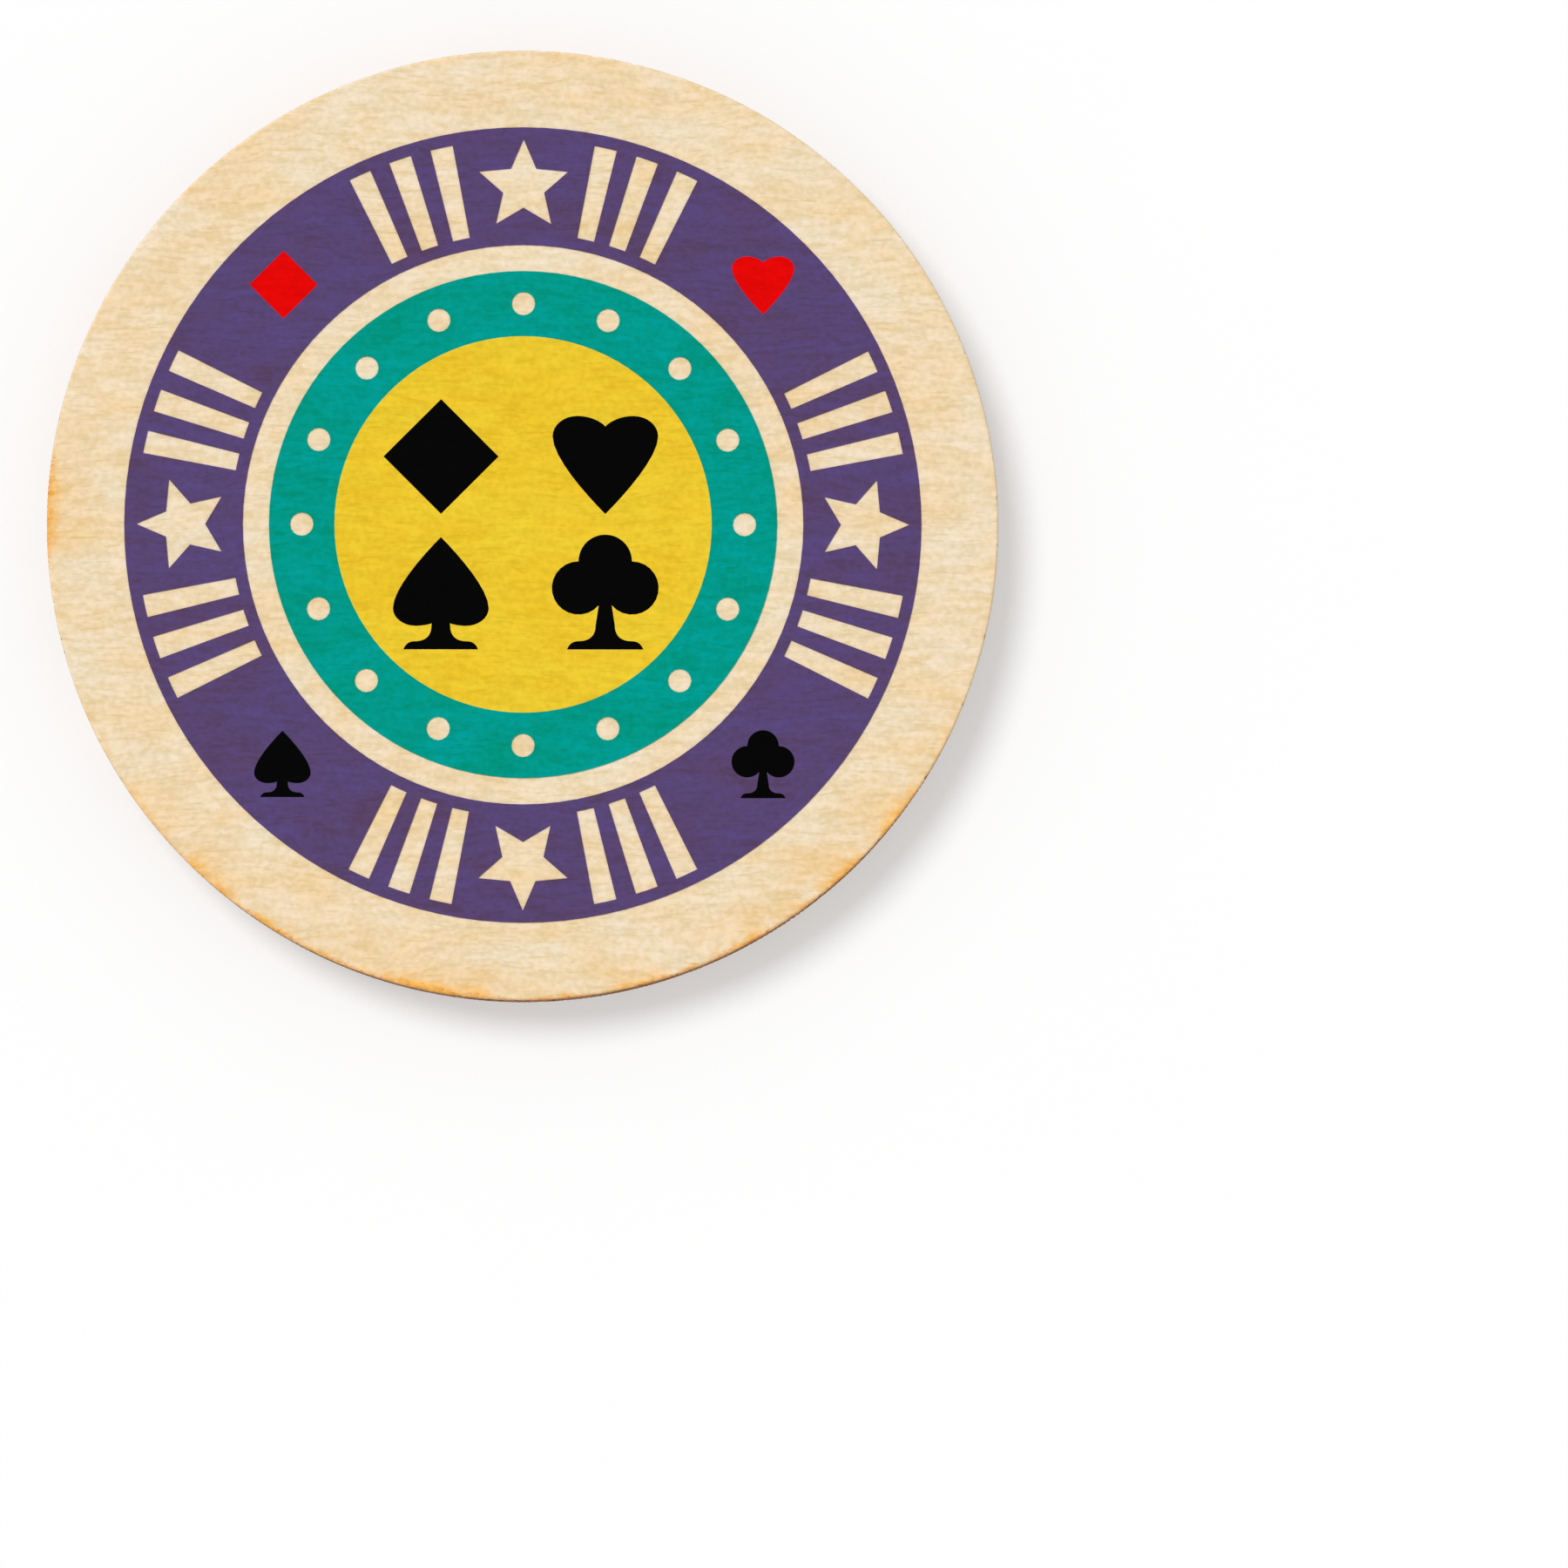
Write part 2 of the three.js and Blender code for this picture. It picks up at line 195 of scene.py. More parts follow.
class ChipBoard(bpy.types.PropertyGroup):
    """Sizes and colours of the plywood round."""

    eased_edge: length("Eased Edge", "Radius of the sanded edge of each face", 0.12)
    stripe_depth: length("Stripe Depth", "Depth of the stripes that the beam leaves on the rim", 0.022)
    pit_depth: length("Pit Depth", "Depth of the burnt pits in the rim", 0.035)
    glue_recess: length("Glue Recess", "How far the burnt glue stands back from the rim", 0.03)
    scorch_reach: length("Scorch Reach", "Widest scorch on the faces along the rim", 0.8)
    strip_width: length("Strip Width", "Width of the gritty burnt strip along the rim", 0.3)
    grain_bend: length("Grain Bend", "How far the grain wanders sideways", 1.4)
    grain_relief: length("Grain Relief", "Depth of the grain in the sanded faces", 0.02)
    cut_relief: length("Cut Relief", "Depth of the fine marks on the cut rim and the glue", 0.03)
    birch: colour("Birch", "Bare sanded birch", 239, 218, 179)
    pale_birch: colour("Pale Birch", "The palest streaks of the birch", 247, 226, 192)
    dark_birch: colour("Dark Birch", "The darkest streaks of the birch", 228, 204, 156)
    cream_birch: colour("Cream Birch", "The palest patches of the birch", 239, 224, 197)
    honey_birch: colour("Honey Birch", "The yellowest patches of the birch", 240, 209, 156)
    fleck: colour("Fleck", "Pin knots in the birch", 168, 112, 62)
    scorch: colour("Scorch", "Wood that the beam has toasted", 247, 186, 72)
    deep_scorch: colour("Deep Scorch", "Wood that the beam has toasted most, at the edge", 228, 152, 66)
    char: colour("Char", "Wood that the beam has burnt", 74, 40, 18)
    cut_pale: colour("Cut Wood, Pale", "Palest wood on the cut rim", 188, 132, 74)
    cut_dark: colour("Cut Wood, Dark", "Browned wood on the cut rim", 112, 66, 31)
    glue: colour("Glue", "Burnt resin in the glue lines", 46, 27, 15)


class ChipInks(bpy.types.PropertyGroup):
    """Colours of the printed inks on the wood."""

    purple_ink: colour("Purple", "Ink of the front band and the back stars", 89, 70, 114)
    teal_ink: colour("Teal", "Ink of the front ring and the back arcs and dots", 0, 154, 138)
    yellow_ink: colour("Yellow", "Ink of the front centre", 236, 201, 46)
    red_ink: colour("Red", "Ink of the diamonds and hearts", 229, 5, 5)
    black_ink: colour("Black", "Ink of the spades and clubs, and of the centre suits", 3, 3, 3)
    ink_relief: length("Ink Relief", "Depth of the grain that shows in the film of ink", 0.012)
    show_through: share("Show Through", "How strongly the grain shows through the ink", 0.96)


class ChipStage(bpy.types.PropertyGroup):
    """The floor, the light and the camera."""

    floor: colour("Floor", "Pale floor", 255, 255, 255)
    floor_glow: share("Floor Glow", "Share of the floor's white that lifts its shadows", 0.4)
    floor_reach: length("Floor Reach", "Distance from the chip to the edge of the floor", 1500)
    key_share: share("Key Light", "Share of the light that comes from the lamp", 0.5)
    key_height: angle("Key Height", "Angle of the lamp above the floor", 60)
    key_softness: angle("Key Softness", "Angle that the lamp fills, seen from the chip", 24)
    picture_width: length("Picture Width", "Width of the picture at the front face", 65.65)
    picture_right: length("Picture Right", "Middle of the picture, right of the chip's middle", 10.93)
    picture_below: length("Picture Below", "Middle of the picture, below the chip's middle", 10.88)
    camera_distance: length("Camera Distance", "Distance of the camera from the front face", 340)
    camera_lean: angle("Camera Lean", "Angle by which the camera leans from straight above", 2.3)
    camera_side: angle("Camera Side", "Angle from X of the side to which the camera leans", -118)


# Expressions that add nodes


class Wire:
    """A socket in a node tree. Arithmetic on wires adds Math nodes, and node() adds any other node."""

    def __init__(self, tree, socket=None):
        self.tree = tree
        self.socket = socket

    def node(self, kind, settings=None, inputs=None, out=0):
        """Adds a node of this type, with its settings first and then its inputs' values or links."""
        made = self.tree.nodes.new(kind)
        for name, value in (settings or {}).items():
            setattr(made, name, value)
        for key, value in (inputs or {}).items():
            if isinstance(value, Wire):
                self.tree.links.new(value.socket, made.inputs[key])
            else:
                made.inputs[key].default_value = value
        return Wire(self.tree, made.outputs[out] if len(made.outputs) else None)

    def math(self, operation, *values):
        return self.node("ShaderNodeMath", {"operation": operation}, dict(enumerate(values)))

    def __add__(self, other):
        return self.math("ADD", self, other)

    def __radd__(self, other):
        return self.math("ADD", other, self)

    def __sub__(self, other):
        return self.math("SUBTRACT", self, other)

    def __rsub__(self, other):
        return self.math("SUBTRACT", other, self)

    def __mul__(self, other):
        return self.math("MULTIPLY", self, other)

    def __rmul__(self, other):
        return self.math("MULTIPLY", other, self)

    def __truediv__(self, other):
        return self.math("DIVIDE", self, other)

    def __rtruediv__(self, other):
        return self.math("DIVIDE", other, self)

    def __pow__(self, other):
        return self.math("POWER", self, other)

    def __gt__(self, other):
        return self.math("GREATER_THAN", self, other)

    def __abs__(self):
        return self.math("ABSOLUTE", self)

    def at_least(self, other):
        return self.math("MAXIMUM", self, other)

    def ramp(self, low, high):
        """A smooth step, 0 below low and 1 above high."""
        settings = {"interpolation_type": "SMOOTHSTEP"}
        return self.node("ShaderNodeMapRange", settings, {"Value": self, "From Min": low, "From Max": high})

    def vector(self, operation, other=None, out=0):
        inputs = {0: self} if other is None else {0: self, 1: other}
        return self.node("ShaderNodeVectorMath", {"operation": operation}, inputs, out)

    def scaled(self, factors):
        return self.vector("MULTIPLY", factors)

    def along(self, direction):
        """How far this vector reaches in a direction of length 1."""
        return self.vector("DOT_PRODUCT", direction, "Value")

    def length(self):
        return self.vector("LENGTH", out="Value")

    def mix(self, first, second):
        """A colour between two colours, with this wire as the factor."""
        inputs = {"Factor": self, 6: first, 7: second}
        return self.node("ShaderNodeMix", {"data_type": "RGBA"}, inputs, 2)

    def noise(self, detail=2.0, roughness=0.5):
        inputs = {"Vector": self, "Scale": 1.0, "Detail": detail, "Roughness": roughness}
        return self.node("ShaderNodeTexNoise", {"noise_dimensions": "3D"}, inputs)


def new_material(name):
    """An empty material, and the wire that starts its node tree."""
    material = bpy.data.materials.new(name)
    material.use_nodes = True
    material.node_tree.nodes.clear()
    return material, Wire(material.node_tree)


def finish_material(start, inputs, bump, bump_depth):
    """Puts a Principled shader with these inputs, and with a bump of this depth, on the surface."""
    normal = start.node("ShaderNodeBump", None, {"Height": bump, "Distance": bump_depth})
    shader = start.node("ShaderNodeBsdfPrincipled", None, {**inputs, "Normal": normal})
    start.node("ShaderNodeOutputMaterial", None, {"Surface": shader})


def millimetres(start):
    """The piece's own coordinates in millimetres, with the grain of the faces along X."""
    return start.node("ShaderNodeTexCoord", out="Object").scaled((1 / MM, 1 / MM, 1 / MM))


# Finishes


class Grain:
    """The grain of the faces at a place, along X and gently bent: streaks, fine fibres, broad patches of
    honey colour and dark pores, each from 0 to 1."""

    def __init__(self, place, board):
        bend = place.scaled(BEND_CELLS).noise(1.0) - 0.5
        sideways = place.node("ShaderNodeCombineXYZ", None, {"Y": board.grain_bend / MM * bend})
        bent = place.vector("ADD", sideways)
        self.board = board
        self.streak = bent.scaled(STREAK_CELLS).noise(1.5)
        self.fibre = bent.scaled(FIBRE_CELLS).noise(1.0)
        self.patch = bent.scaled(PATCH_CELLS).noise(4.0, 0.6)
        self.pores = bent.scaled(PORE_CELLS).noise(1.0).ramp(0.56, 0.8)

    def tint(self, strength=1.0):
        """The colour by which the grain multiplies the wood, or the ink on it."""
        spread = 0.95 * (self.streak - 0.5) + (self.fibre - 0.5)
        dark = (0.47 + strength * (spread + 0.45 * self.pores)).ramp(0.0, 1.0)
        honey = (0.44 + 1.4 * strength * (self.patch - 0.5)).ramp(0.0, 1.0)
        board = self.board
        streaks = dark.mix(tint_of(board.pale_birch, board.birch), tint_of(board.dark_birch, board.birch))
        patches = honey.mix(tint_of(board.cream_birch, board.birch), tint_of(board.honey_birch, board.birch))
        return streaks.vector("MULTIPLY", patches)

    def relief(self):
        """How far the wood stands up, with the pores sunk in it."""
        return 0.5 * self.streak + 0.4 * self.fibre - 0.3 * self.pores


def flecks(place):
    """Sparse pin knots: spots in the cells of a pattern, stretched along the grain, whose random red is
    high."""
    cells = place.scaled(FLECK_CELLS)
    settings = {"feature": "F1", "voronoi_dimensions": "3D"}
    distance = cells.node("ShaderNodeTexVoronoi", settings, {"Vector": cells, "Scale": 1.0}, "Distance")
    random = cells.node("ShaderNodeTexVoronoi", settings, {"Vector": cells, "Scale": 1.0}, "Color")
    chosen = random.along((1, 0, 0)) > 0.9
    return chosen * (1 - distance.ramp(0.02, 0.06))


class Scorch:
    """What the beam has done to a face near the rim, each from 0 to 1: a wide haze, ragged toasted
    patches, a gritty strip along the edge, burnt specks in the strip, and the browned lip where the face
    turns into the wall. All but the lip are strongest at the scorched stretches of the rim."""

    def __init__(self, place, board):
        reach, width = board.scorch_reach / MM, board.strip_width / MM
        flat = place.scaled((1, 1, 0))
        inward = RIM_RADIUS / MM - flat.length()
        outward = flat.vector("NORMALIZE")
        toward_foot = outward.along(toward_angle(SCORCHED_FOOT))
        spot = outward.along(toward_angle(SCORCHED_SPOT)).ramp(0.988, 1.0)
        side = (0.12 + 0.88 * toward_foot.ramp(0.35, 0.75)).at_least(spot)
        edge = toward_foot.ramp(0.35, 0.9).at_least(spot)
        blotch = place.scaled(BLOTCH_CELLS).noise(3.0, 0.6).ramp(0.35, 0.65).at_least(0.9 * spot)
        ragged = place.scaled(RAGGED_CELLS).noise(3.0, 0.65) - 0.5
        grit = place.scaled(GRIT_CELLS).noise(2.0, 0.6)

        depth = inward / (reach * (0.25 + 0.75 * blotch)) + 1.1 * ragged
        self.toast = side * (0.25 + 0.75 * blotch) * (1 - depth.ramp(0.0, 1.0))
        self.haze = side * blotch * (1 - inward.ramp(0.0, 3.6 * reach))
        near_edge = 1 - (inward / width + 1.4 * ragged - 0.3 * blotch).ramp(0.1, 0.9)
        self.strip = edge * near_edge * (0.25 + 0.75 * grit.ramp(0.38, 0.62))
        self.specks = self.strip * grit.ramp(0.63, 0.72)

        middle = (FACE_LOW + FACE_HIGH) / 2 / MM
        from_middle = place.along(UP) - middle
        below_face = FACE_HIGH / MM - middle - abs(from_middle)
        lower_half = 1 - (from_middle > 0)
        self.lip = (below_face + LIP_RAGGED * ragged + BACK_LIP_RISE * lower_half).ramp(*LIP_DEPTHS)


def scorched_birch(board):
    """Bare sanded birch with pin knots, scorched near the rim."""
    material, start = new_material("scorched_birch")
    place = millimetres(start)
    grain = Grain(place, board)
    scorch = Scorch(place, board)
    tint = grain.tint()
    toasted = tint.vector("MULTIPLY", board.scorch)
    deep = tint.vector("MULTIPLY", board.deep_scorch)

    wood = tint.vector("MULTIPLY", board.birch)
    wood = (0.55 * flecks(place)).mix(wood, opaque(board.fleck))
    wood = (0.28 * scorch.haze).mix(wood, toasted)
    wood = (0.92 * scorch.toast).mix(wood, toasted)
    wood = (0.65 * scorch.strip).mix(wood, deep)
    wood = (0.7 * scorch.specks).mix(wood, opaque(board.cut_dark))
    wood = (0.85 * scorch.lip).mix(wood, opaque(board.cut_dark))

    inputs = {"Base Color": wood, "Roughness": 0.55 + 0.2 * grain.streak, "Specular IOR Level": 0.2}
    finish_material(start, inputs, grain.relief(), board.grain_relief)
    return material


def cut_birch(name, board, end_axis, low, high):
    """Laser-cut ply: browned wood with burnt stripes up the rim, darker at its glue lines and where
    the grain ends in the cut, which is where the rim faces along end_axis."""
    material, start = new_material(name)
    place = millimetres(start)
    stripe = place.scaled(STRIPE_CELLS).noise(2.0, 0.6)
    blotch = place.scaled(BROWN_CELLS).noise(3.0, 0.6)
    pores = place.scaled(PIT_CELLS).noise(1.0).ramp(0.58, 0.68)
    end = (place.along(end_axis) / place.scaled((1, 1, 0)).length()) ** 2
    middle, half = (low + high) / 2 / MM, (high - low) / 2 / MM
    border = abs((place.along(UP) - middle) / half).ramp(0.45, 1.05)

    brown = (0.25 + 0.35 * end + 1.5 * (stripe - 0.5) + 1.2 * (blotch - 0.5)).ramp(0.0, 1.0)
    wood = brown.mix(opaque(board.cut_pale), opaque(board.cut_dark))
    burnt = 0.5 * border + 0.7 * (stripe - 0.45) + 0.5 * (blotch - 0.45) + 0.35 * end * pores
    wood = burnt.ramp(0.05, 0.75).mix(wood, opaque(board.char))

    inputs = {"Base Color": wood, "Roughness": 0.62 + 0.25 * stripe, "Specular IOR Level": 0.3}
    finish_material(start, inputs, stripe - 0.3 * pores, board.cut_relief)
    return material


def burnt_glue(board):
    """Charred resin with browner, slightly shiny beads."""
    material, start = new_material("burnt_glue")
    beads = millimetres(start).scaled(BEAD_CELLS).noise(2.0, 0.6).ramp(0.4, 0.7)
    resin = (0.7 * beads).mix(opaque(board.glue), opaque(board.char))
    inputs = {"Base Color": resin, "Roughness": 0.7 - 0.35 * beads, "Specular IOR Level": 0.4}
    finish_material(start, inputs, beads, board.cut_relief)
    return material


def printed_ink(slot, board, inks):
    """A film of ink that the grain of the wood tints and shows through in relief."""
    material, start = new_material(f"printed_{slot}")
    grain = Grain(millimetres(start), board)
    ink = grain.tint(inks.show_through).vector("MULTIPLY", getattr(inks, slot))
    inputs = {"Base Color": ink, "Roughness": 0.42 + 0.2 * grain.streak, "Specular IOR Level": 0.012}
    finish_material(start, inputs, grain.relief(), inks.ink_relief)
    return material


def shared_finish(name, make, *values):
    """The finish of this name, which is made the first time that a piece asks for it."""
    return bpy.data.materials.get(name) or make(*values)


# Shapes


def waves(theta, z, turns, climb, seed, count=48):
    """Uneven ripples round the rim: a sum of cosines, each with a whole number of turns within a range,
    its own lean with height and its own phase. Its mean is 0 and its spread is 1."""
    random = np.random.default_rng(seed)
    turn = random.integers(*turns, size=count)
    lean = random.normal(0.0, climb / MM, count)
    phase = random.uniform(0.0, 2 * np.pi, count)
    angles = theta[..., None] * turn + z[..., None] * lean + phase
    return np.cos(angles).sum(-1) * math.sqrt(2 / count)


def burnt_depth(theta, z, board):
    """How far the beam has burnt the rim back: close stripes that run up the rim, deeper in some
    stretches than in others, plus pits where a slower ripple stands highest."""
    stripes = np.clip(0.5 + 0.3 * waves(theta, z, *STRIPE_RIPPLES), 0, 1)
    stretches = np.clip(0.65 + 0.3 * waves(theta, z, *STRETCH_RIPPLES), 0.2, 1)
    pits = np.clip(waves(theta, z, *PIT_RIPPLES) - 1.4, 0, 1)
    return board.stripe_depth * stripes * stretches + board.pit_depth * pits


def cut_radius(z):
    """The rim's radius before burning: it falls in a straight line from the back edge to the front."""
    slope = (RIM_RADIUS - FRONT_PLY_RADIUS) / (FRONT_PLY_LOW - FACE_LOW)
    return RIM_RADIUS - slope * (z - FACE_LOW)


def half_edge(ease):
    """Insets, heights and burning of the rings from a face's edge to its wall: a quarter of a circle,
    or just the corner where the edge isn't eased."""
    turn = np.linspace(np.pi / 2, 0, EDGE_RINGS) if ease > 0 else np.zeros(1)
    return ease * (1 - np.cos(turn)), ease * (1 - np.sin(turn)), np.cos(turn)


def layer_rings(low, high, ease_low, ease_high, recess, board):
    """The grid of a layer's points, in rings from the middle of its lower face, round its wall, to the
    middle of its upper face: each ring's radius is the cut radius at its height, less its inset, the
    recess and its burning."""
    low_inset, low_rise, low_burn = half_edge(ease_low)
    high_inset, high_drop, high_burn = half_edge(ease_high)
    wall = np.linspace(low + ease_low, high - ease_high, WALL_RINGS + 2)[1:-1]
    faces = np.zeros_like(FACE_INSETS)
    inset = np.concatenate(
        [ease_low + FACE_INSETS, low_inset, 0 * wall, high_inset[::-1], ease_high + FACE_INSETS[::-1]]
    )
    z = np.concatenate([low + faces, low + low_rise, wall, high - high_drop[::-1], high + faces])
    burn = np.concatenate([faces, low_burn, 0 * wall + 1, high_burn[::-1], faces])
    theta = np.linspace(0, 2 * np.pi, AROUND, endpoint=False)
    angles, heights = np.broadcast_to(theta, (len(z), AROUND)), np.repeat(z[:, None], AROUND, 1)
    radius = (cut_radius(z) - inset - recess)[:, None] - burn[:, None] * burnt_depth(angles, heights, board)
    return np.stack([radius * np.cos(angles), radius * np.sin(angles), heights], -1)


def round_mesh(name, rings):
    """A closed mesh through rings of points: four-sided faces between the rings, and a fan of triangles
    to one point in the middle of the first and of the last ring. Faces point outwards."""
    count, around = rings.shape[:2]
    middles = rings[[0, -1]].mean(1)
    points = np.concatenate([middles[:1], rings.reshape(-1, 3), middles[1:]])
    ring = 1 + np.arange(count * around).reshape(count, around)
    after = np.roll(ring, -1, 1)
    sides = np.stack([ring[:-1], after[:-1], after[1:], ring[1:]], -1).reshape(-1, 4)
    low_fan = np.stack([0 * ring[0], after[0], ring[0]], -1)
    high_fan = np.stack([0 * ring[-1] + len(points) - 1, ring[-1], after[-1]], -1)
    mesh = bpy.data.meshes.new(name)
    mesh.from_pydata(points.tolist(), [], low_fan.tolist() + sides.tolist() + high_fan.tolist())
    return mesh


def paint_rings(mesh, bands, finishes):
    """Gives each band of faces, from the lower middle to the upper, its finish and its smoothing. bands
    holds (number of rings, index of finish, smooth) in order."""
    for finish in finishes:
        mesh.materials.append(finish)
    index = np.concatenate([np.full(rings * AROUND, finish) for rings, finish, smooth in bands])
    smooth = np.concatenate([np.full(rings * AROUND, smooth) for rings, finish, smooth in bands])
    mesh.polygons.foreach_set("material_index", index.astype(np.int32))
    mesh.polygons.foreach_set("use_smooth", smooth)
    mesh.update()


def add_layer(context, node, bands, finishes, ease_low=0.0, ease_high=0.0, recess=0.0):
    """Puts a layer of the board in place of its node."""
    board = context.scene.chip_board
    low, high = (corner.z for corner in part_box(node))
    mesh = round_mesh(node + "_wood", layer_rings(low, high, ease_low, ease_high, recess, board))
    paint_rings(mesh, bands, finishes)
    piece = bpy.data.objects.new(node + "_cut", mesh)
    context.scene.collection.objects.link(piece)
    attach(piece, "root")
    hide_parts(node)


def cut_finish(board, node, end_axis):
    """The finish of a layer's cut wall."""
    low, high = (corner.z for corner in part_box(node))
    return cut_birch(node + "_cut", board, end_axis, low, high)


def add_face_veneer(context, node, bands, ease_low=0.0, ease_high=0.0):
    """Puts a face veneer in place of its node, with its bare face and its burnt wall."""
    board = context.scene.chip_board
    face = shared_finish("scorched_birch", scorched_birch, board)
    wall = cut_finish(board, node, ALONG_FACES)
    add_layer(context, node, bands, [face, wall], ease_low, ease_high)


def ink_films(context, side):
    """Gives each film of ink on a face its finish."""
    board, inks = context.scene.chip_board, context.scene.chip_inks
    for node, slot in SLOT_OF_NODE.items():
        if node.startswith(side) and slot.endswith("_ink"):
            mesh = frame["nodes"][node].data
            mesh.materials.clear()
            mesh.materials.append(shared_finish(f"printed_{slot}", printed_ink, slot, board, inks))


class CHIP_OT_front_veneer(bpy.types.Operator):
    """Builds the front veneer, with its bare face, its eased edge and its burnt wall"""

    bl_idname = "chip.front_veneer"
    bl_label = "Front Veneer"

    def execute(self, context):
        ease = context.scene.chip_board.eased_edge
        add_face_veneer(context, "front_veneer", EASED_BANDS[::-1], ease_high=ease)
        return {"FINISHED"}


class CHIP_OT_core_veneer(bpy.types.Operator):
    """Builds the core veneer, whose grain runs across the faces' grain"""

    bl_idname = "chip.core_veneer"
    bl_label = "Core Veneer"

    def execute(self, context):
        wall = cut_finish(context.scene.chip_board, "core_veneer", ALONG_CORE)
        add_layer(context, "core_veneer", SHARP_BANDS, [wall])
        return {"FINISHED"}


class CHIP_OT_back_veneer(bpy.types.Operator):
    """Builds the back veneer, with its bare face, its eased edge and its burnt wall"""

    bl_idname = "chip.back_veneer"
    bl_label = "Back Veneer"

    def execute(self, context):
        ease = context.scene.chip_board.eased_edge
        add_face_veneer(context, "back_veneer", EASED_BANDS, ease_low=ease)
        return {"FINISHED"}


class CHIP_OT_glue_lines(bpy.types.Operator):
    """Builds the two burnt glue lines, which stand back from the wood"""

    bl_idname = "chip.glue_lines"
    bl_label = "Glue Lines"

    def execute(self, context):
        board = context.scene.chip_board
        glue = burnt_glue(board)
        for node in ("back_glue_line", "front_glue_line"):
            add_layer(context, node, SHARP_BANDS, [glue], recess=board.glue_recess)
        return {"FINISHED"}


class CHIP_OT_front_print(bpy.types.Operator):
    """Inks the front: the purple band, the teal ring, the yellow centre and their suits"""

    bl_idname = "chip.front_print"
    bl_label = "Front Print"

    def execute(self, context):
        ink_films(context, "front")
        return {"FINISHED"}


class CHIP_OT_back_print(bpy.types.Operator):
    """Inks the back: the teal arcs and dots, the purple stars and the suits"""

    bl_idname = "chip.back_print"
    bl_label = "Back Print"

    def execute(self, context):
        ink_films(context, "back")
        return {"FINISHED"}


# Stage


def floor_mesh(reach):
    """A flat square that lies under the chip."""
    corners = reach * np.array([(-1, -1, 0), (1, -1, 0), (1, 1, 0), (-1, 1, 0)])
    mesh = bpy.data.meshes.new("floor")
    mesh.from_pydata(corners.tolist(), [], [(0, 1, 2, 3)])
    return mesh


def floor_finish(pale, glow):
    """Pale matte floor with faint mottling, whose shadows this share of its own white lifts for the
    camera. From below it is seen through, and light from below passes it under the chip, to the back."""
    material, start = new_material("pale_floor")
    place = millimetres(start)
    mottle = place.scaled(MOTTLE_CELLS).noise(2.0).ramp(0.3, 0.7)
    paint = mottle.mix(opaque(pale), opaque(0.995 * c for c in pale))
    lit = start.node("ShaderNodeBsdfDiffuse", None, {"Color": paint})
    white = start.node("ShaderNodeEmission", None, {"Color": opaque(pale), "Strength": 1.0})
    clear = start.node("ShaderNodeBsdfTransparent")
    under = start.node("ShaderNodeNewGeometry", out="Backfacing")
    seen = start.node("ShaderNodeLightPath", out="Is Camera Ray")
    shader = start.node("ShaderNodeMixShader", None, {"Fac": glow * seen, 1: lit, 2: white})
    covered = 1 - (place.length() > FLOOR_OPENING * RIM_RADIUS / MM)
    opening = seen * under + (1 - seen) * covered
    surface = start.node("ShaderNodeMixShader", None, {"Fac": opening, 1: shader, 2: clear})
    start.node("ShaderNodeOutputMaterial", None, {"Surface": surface})
    return material


def add_lamp(context, name, toward_lamp, strength, softness):
    """A lamp far away in a direction, with the strength of its light on a surface that faces it."""
    lamp = bpy.data.lights.new(name, "SUN")
    lamp.energy = strength
    lamp.angle = softness
    holder = bpy.data.objects.new(name, lamp)
    holder.rotation_euler = Vector(toward_lamp).to_track_quat("Z", "Y").to_euler()
    context.scene.collection.objects.link(holder)


def white_world(level):
    """Even white light of this level, which shows as plain white behind the floor."""
    world = bpy.data.worlds.new("white_room")
    world.use_nodes = True
    world.node_tree.nodes.clear()
    start = Wire(world.node_tree)
    camera = start.node("ShaderNodeLightPath", out="Is Camera Ray")
    glossy = start.node("ShaderNodeLightPath", out="Is Glossy Ray")
    through = start.node("ShaderNodeLightPath", out="Is Transmission Ray")
    strength = level + (1 - level) * camera.at_least(glossy.at_least(through))
    light = start.node("ShaderNodeBackground", None, {"Color": (1, 1, 1, 1), "Strength": strength})
    start.node("ShaderNodeOutputWorld", None, {"Surface": light})
    return world


def add_camera(context, stage):
    """A camera over the lower right of the front face, leaning a little towards the foot of the picture."""
    aim = Vector((stage.picture_right, -stage.picture_below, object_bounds()[1].z))
    flat = math.sin(stage.camera_lean)
    side = stage.camera_side
    back = Vector((flat * math.cos(side), flat * math.sin(side), math.cos(stage.camera_lean)))
    right = Vector((0, 1, 0)).cross(back).normalized()
    turn = Matrix((right, back.cross(right), back)).transposed().to_4x4()
    lens = bpy.data.cameras.new("camera")
    lens.lens = lens.sensor_width * stage.camera_distance / stage.picture_width
    lens.clip_start, lens.clip_end = NEAR_LIMIT, FAR_LIMIT
    camera = bpy.data.objects.new("camera", lens)
    camera.matrix_world = Matrix.Translation(aim + stage.camera_distance * back) @ turn
    context.scene.collection.objects.link(camera)
    context.scene.camera = camera


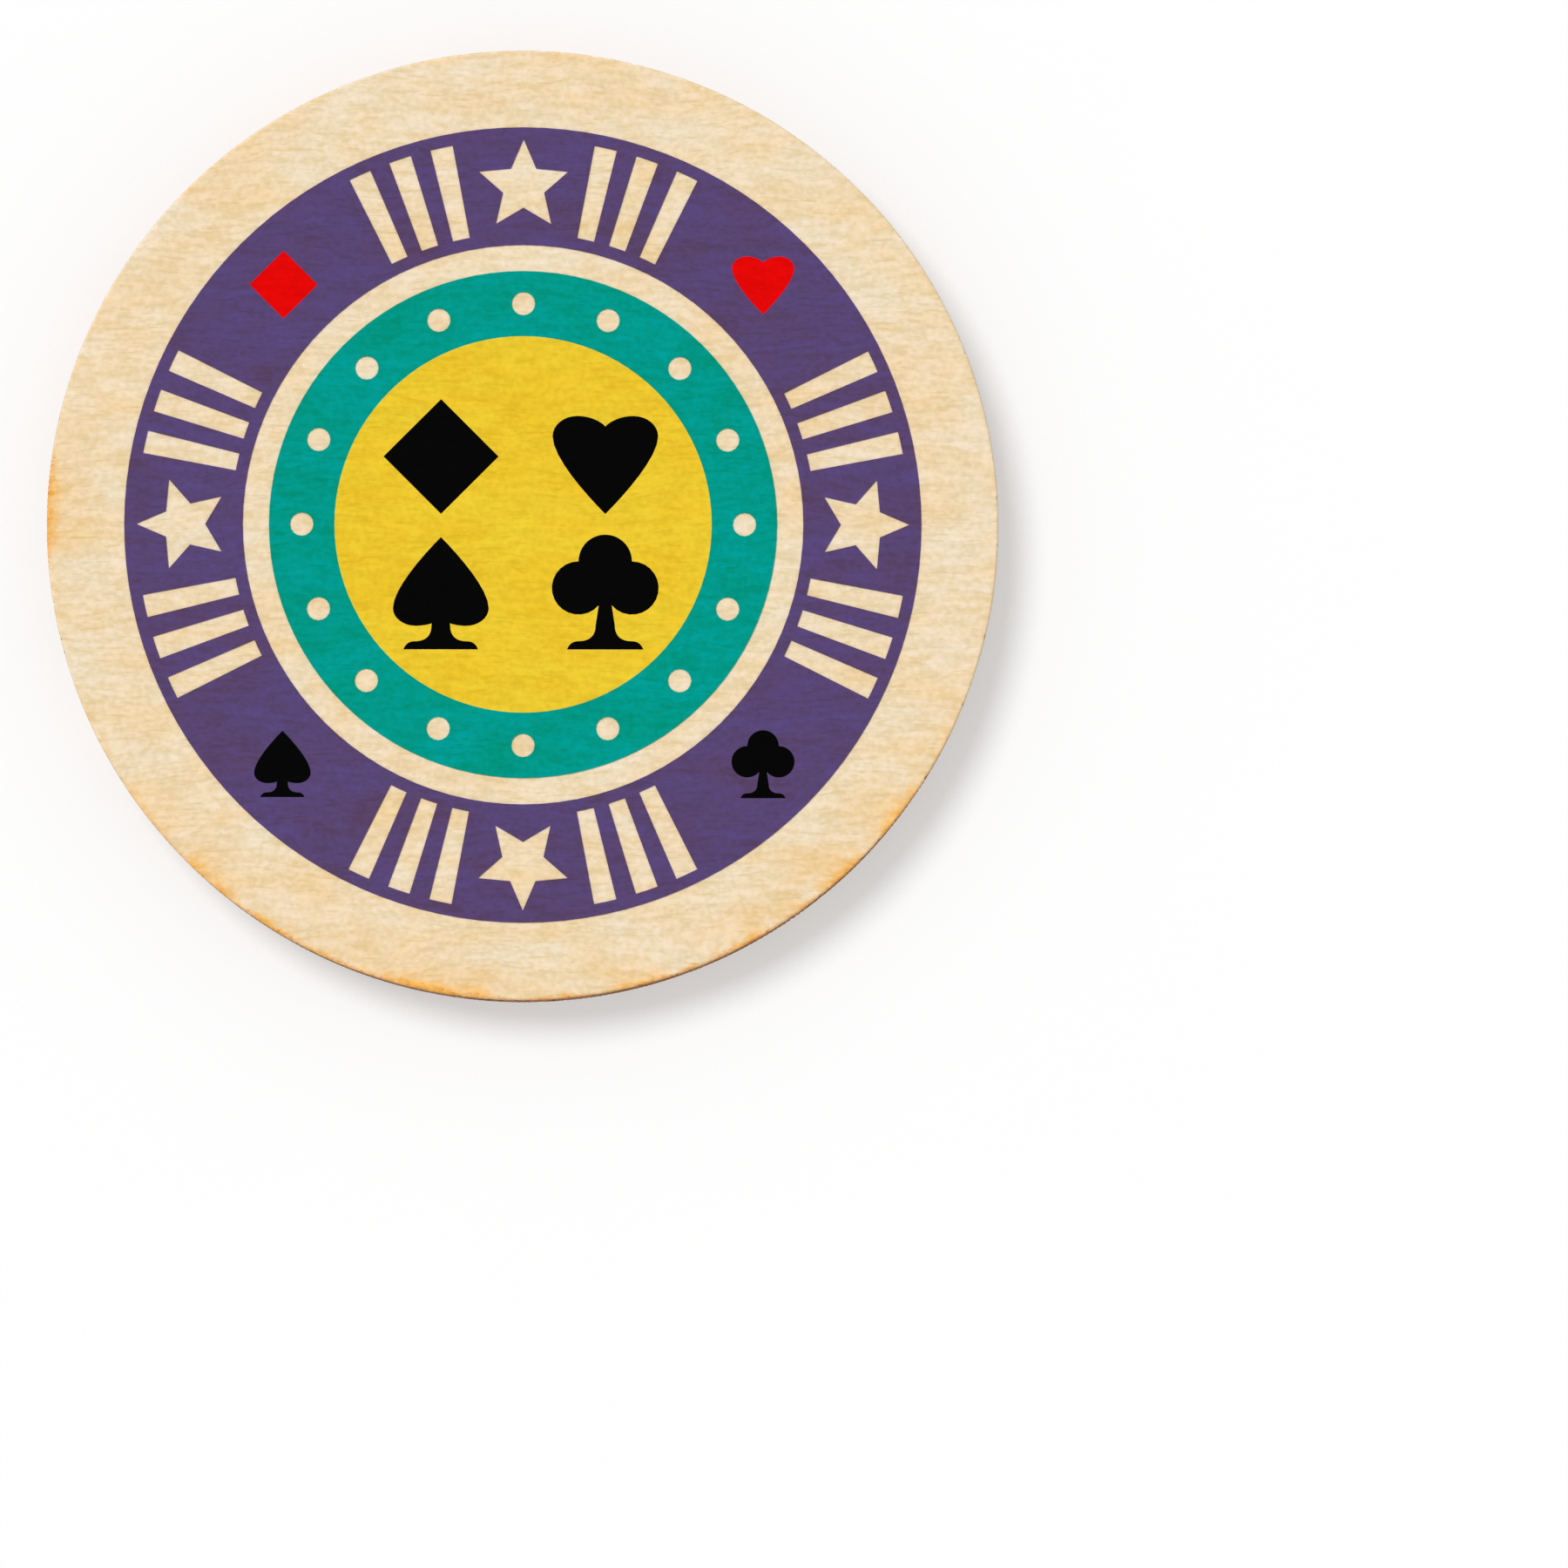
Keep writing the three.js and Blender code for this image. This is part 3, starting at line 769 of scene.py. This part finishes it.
class CHIP_OT_stage(bpy.types.Operator):
    """Sets the floor, the light and the camera"""

    bl_idname = "chip.stage"
    bl_label = "Stage"

    def execute(self, context):
        stage = context.scene.chip_stage
        mesh = floor_mesh(stage.floor_reach)
        mesh.materials.append(floor_finish(stage.floor, stage.floor_glow))
        floor = bpy.data.objects.new("floor", mesh)
        context.scene.collection.objects.link(floor)
        floor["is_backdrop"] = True

        # A lamp at the upper left for the front, one below for the back, and the room for the rest
        key = stage.key_share * math.pi
        rise = math.sin(stage.key_height)
        along = math.cos(stage.key_height) * math.sqrt(0.5)
        add_lamp(context, "key_lamp", (-along, along, rise), key / rise, stage.key_softness)
        add_lamp(context, "back_lamp", (0, 0, -1), key, stage.key_softness)
        context.scene.world = white_world(1 - stage.key_share)
        add_camera(context, stage)
        context.scene.view_settings.view_transform = "Standard"
        return {"FINISHED"}


PIECES = (
    CHIP_OT_front_veneer,
    CHIP_OT_core_veneer,
    CHIP_OT_back_veneer,
    CHIP_OT_glue_lines,
    CHIP_OT_front_print,
    CHIP_OT_back_print,
    CHIP_OT_stage,
)
GROUPS = {"chip_board": ChipBoard, "chip_inks": ChipInks, "chip_stage": ChipStage}


class CHIP_PT_builder(bpy.types.Panel):
    """Lists the chip's pieces and the stage, with their settings"""

    bl_label = "Poker Chip"
    bl_idname = "CHIP_PT_builder"
    bl_space_type = "VIEW_3D"
    bl_region_type = "UI"
    bl_category = "Poker Chip"

    def draw(self, context):
        column = self.layout.column(align=True)
        for piece in PIECES:
            column.operator(piece.bl_idname)
        for name, group in GROUPS.items():
            box = self.layout.box()
            for setting in group.__annotations__:
                box.prop(getattr(context.scene, name), setting)


CLASSES = (*GROUPS.values(), *PIECES, CHIP_PT_builder)


def register():
    for cls in CLASSES:
        bpy.utils.register_class(cls)
    for name, group in GROUPS.items():
        setattr(bpy.types.Scene, name, bpy.props.PointerProperty(type=group))


def unregister():
    for name in GROUPS:
        delattr(bpy.types.Scene, name)
    for cls in reversed(CLASSES):
        bpy.utils.unregister_class(cls)


def main():
    register()
    bpy.ops.chip.front_veneer()
    bpy.ops.chip.core_veneer()
    bpy.ops.chip.back_veneer()
    bpy.ops.chip.glue_lines()
    bpy.ops.chip.front_print()
    bpy.ops.chip.back_print()
    bpy.ops.chip.stage()


if __name__ == "__main__":
    main()
